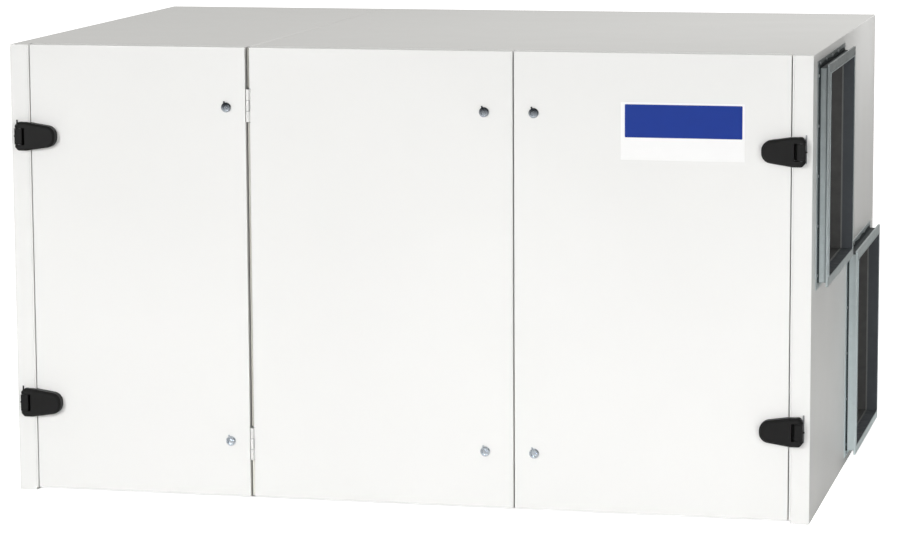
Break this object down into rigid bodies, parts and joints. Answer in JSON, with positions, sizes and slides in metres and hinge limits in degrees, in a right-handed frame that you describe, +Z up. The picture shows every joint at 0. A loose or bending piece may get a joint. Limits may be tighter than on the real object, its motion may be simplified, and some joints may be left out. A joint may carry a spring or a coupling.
{
  "type": "air handling unit",
  "caption": "Floor-standing air handling unit: white insulated sheet-metal casing with hinged front doors on black hinges and square galvanised duct flanges on both ends.",
  "frame": {"origin": "centre of the casing's footprint, on the floor", "axes": "+X to the right seen from the doors, +Y from the doors to the back, +Z up"},
  "size_m": [1.543, 1.0185, 0.8458],
  "materials": {
    "casing_paint": "satin white powder coat",
    "door_paint": "satin white powder coat",
    "galvanised": "galvanised sheet",
    "duct_lining": "dark grey lining of the duct openings",
    "gasket": "black sealing rubber",
    "lock_metal": "zinc-plated die casting",
    "hinge_plastic": "black moulded plastic",
    "pin_steel": "bright steel"
  },
  "bodies": {
    "casing": {"left_side_panel": "casing_paint", "right_side_panel": "casing_paint", "roof_panel_left": "casing_paint", "roof_panel_right": "casing_paint", "floor_panel_left": "casing_paint", "floor_panel_right": "casing_paint", "back_panel_left": "casing_paint", "back_panel_right": "casing_paint", "roof_joint_strip": "casing_paint", "left_jamb": "galvanised", "left_post": "galvanised", "right_post": "galvanised", "right_jamb": "galvanised", "right_upper_duct_frame": "galvanised", "right_lower_duct_frame": "galvanised", "left_upper_duct_frame": "galvanised", "left_lower_duct_frame": "galvanised", "right_duct_sleeves": "duct_lining", "left_duct_sleeves": "duct_lining", "left_upper_hinge_base": "hinge_plastic", "left_lower_hinge_base": "hinge_plastic", "right_upper_hinge_base": "hinge_plastic", "right_lower_hinge_base": "hinge_plastic", "left_hinge_pins": "pin_steel", "right_hinge_pins": "pin_steel", "left_hinge_plates": "pin_steel", "right_hinge_plates": "pin_steel", "upper_slim_hinge_fixed": "door_paint", "lower_slim_hinge_fixed": "door_paint", "slim_hinge_pins": "pin_steel"},
    "left_leaf": {"left_door": "door_paint", "left_door_gasket": "gasket", "left_door_locks": "lock_metal", "left_upper_hinge_leaf": "hinge_plastic", "left_lower_hinge_leaf": "hinge_plastic"},
    "middle_leaf": {"middle_door": "door_paint", "middle_door_gasket": "gasket", "middle_door_locks": "lock_metal", "upper_slim_hinge_leaf": "door_paint", "lower_slim_hinge_leaf": "door_paint"},
    "right_leaf": {"right_door": "door_paint", "right_door_gasket": "gasket", "right_door_locks": "lock_metal", "right_upper_hinge_leaf": "hinge_plastic", "right_lower_hinge_leaf": "hinge_plastic"}
  },
  "joints": [
    {"name": "left_door_swing", "type": "hinge", "parent": "casing", "child": "left_leaf", "pos_m": [-0.731, -0.5105, 0.4225], "axis": [0, 0, -1], "range_deg": [0, 120]},
    {"name": "middle_door_swing", "type": "hinge", "parent": "casing", "child": "middle_leaf", "pos_m": [-0.2895, -0.502, 0.4225], "axis": [0, 0, -1], "range_deg": [0, 110]},
    {"name": "right_door_swing", "type": "hinge", "parent": "casing", "child": "right_leaf", "pos_m": [0.731, -0.5105, 0.4225], "axis": [0, 0, 1], "range_deg": [0, 120]}
  ]
}
